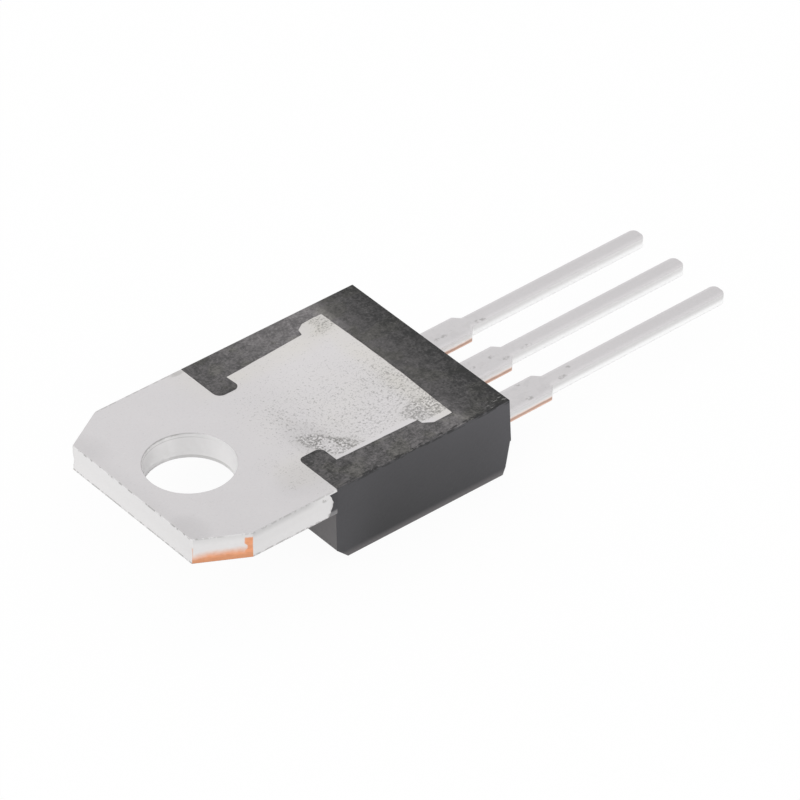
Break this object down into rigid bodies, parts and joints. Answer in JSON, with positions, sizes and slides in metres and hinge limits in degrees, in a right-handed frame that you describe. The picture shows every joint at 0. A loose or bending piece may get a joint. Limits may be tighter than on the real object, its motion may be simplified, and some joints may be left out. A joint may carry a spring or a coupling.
{
  "type": "triac",
  "caption": "Through-hole power triac: tinned copper heatsink tab with a mounting hole, black moulded body and a row of straight solder leads.",
  "frame": {"origin": "centre of the mounting hole, on the bare metal face of the heatsink tab", "axes": "+X along the leads, away from the tab; +Z out of the bare metal face; -Z out of the front of the moulded body, which the part lies on"},
  "size_m": [0.0289, 0.01, 0.0044],
  "materials": {
    "tinned_copper": "satin",
    "moulding_compound": "matte",
    "solder": "satin",
    "silicon": "gloss",
    "bond_wire": "satin"
  },
  "bodies": {
    "root": {"heatsink_tab": "tinned_copper", "terminal_1_lead": "tinned_copper", "gate_lead": "tinned_copper", "die_solder": "solder", "triac_die": "silicon", "terminal_1_wire_inner": "bond_wire", "terminal_1_wire_outer": "bond_wire", "gate_wire": "bond_wire", "moulded_body": "moulding_compound"}
  },
  "joints": []
}
